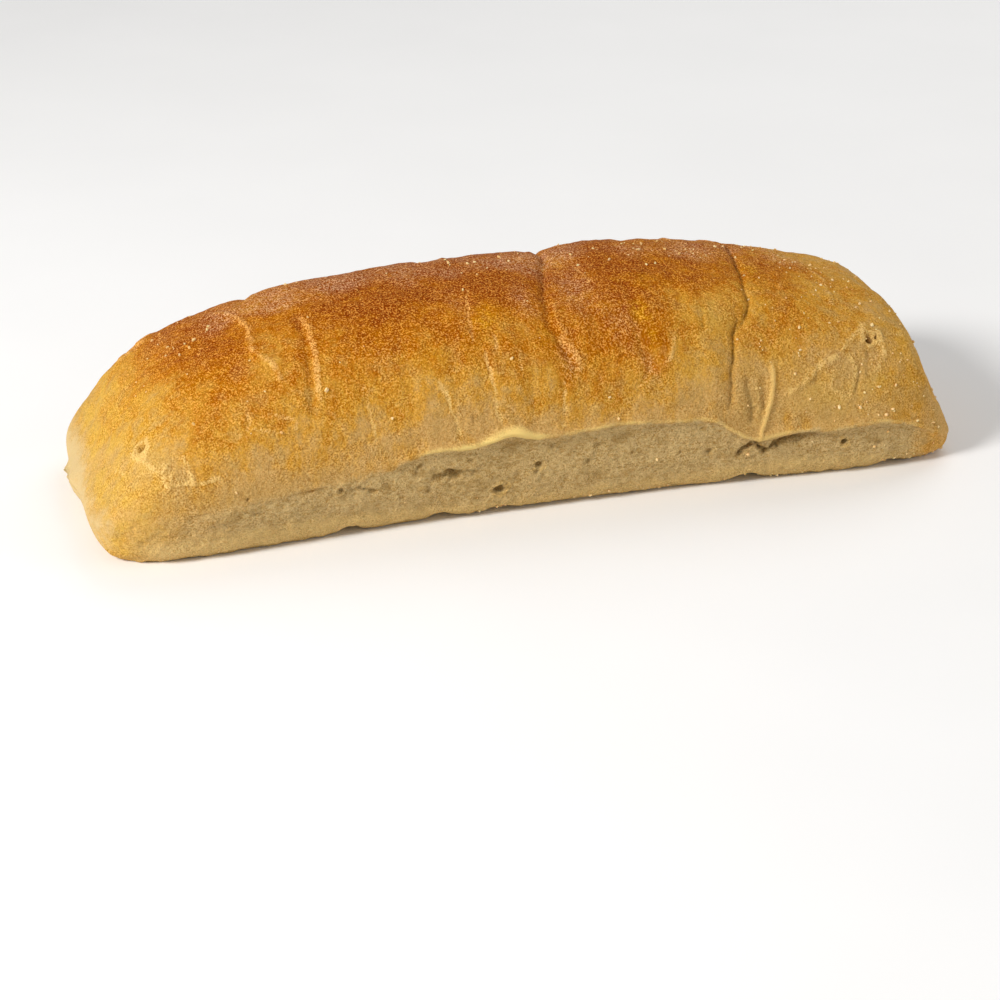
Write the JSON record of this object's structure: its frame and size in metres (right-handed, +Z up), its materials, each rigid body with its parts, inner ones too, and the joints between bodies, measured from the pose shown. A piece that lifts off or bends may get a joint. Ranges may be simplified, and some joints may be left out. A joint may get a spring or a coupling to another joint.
{
  "type": "ciabatta roll",
  "caption": "Long, low ciabatta roll with a rounded crust, an overhanging lip over a pale side band and a flat base.",
  "frame": {"origin": "centre of the roll's box in plan, on the surface it stands on", "axes": "+X along the roll, -Y towards the front with the overhanging lip, +Z up"},
  "size_m": [0.222, 0.0748, 0.0512],
  "materials": {
    "crust": "Baked crust: golden brown on top, cream at the side band, matt with a fine speckle of flour."
  },
  "bodies": {
    "root": {"loaf": "crust"}
  },
  "joints": []
}
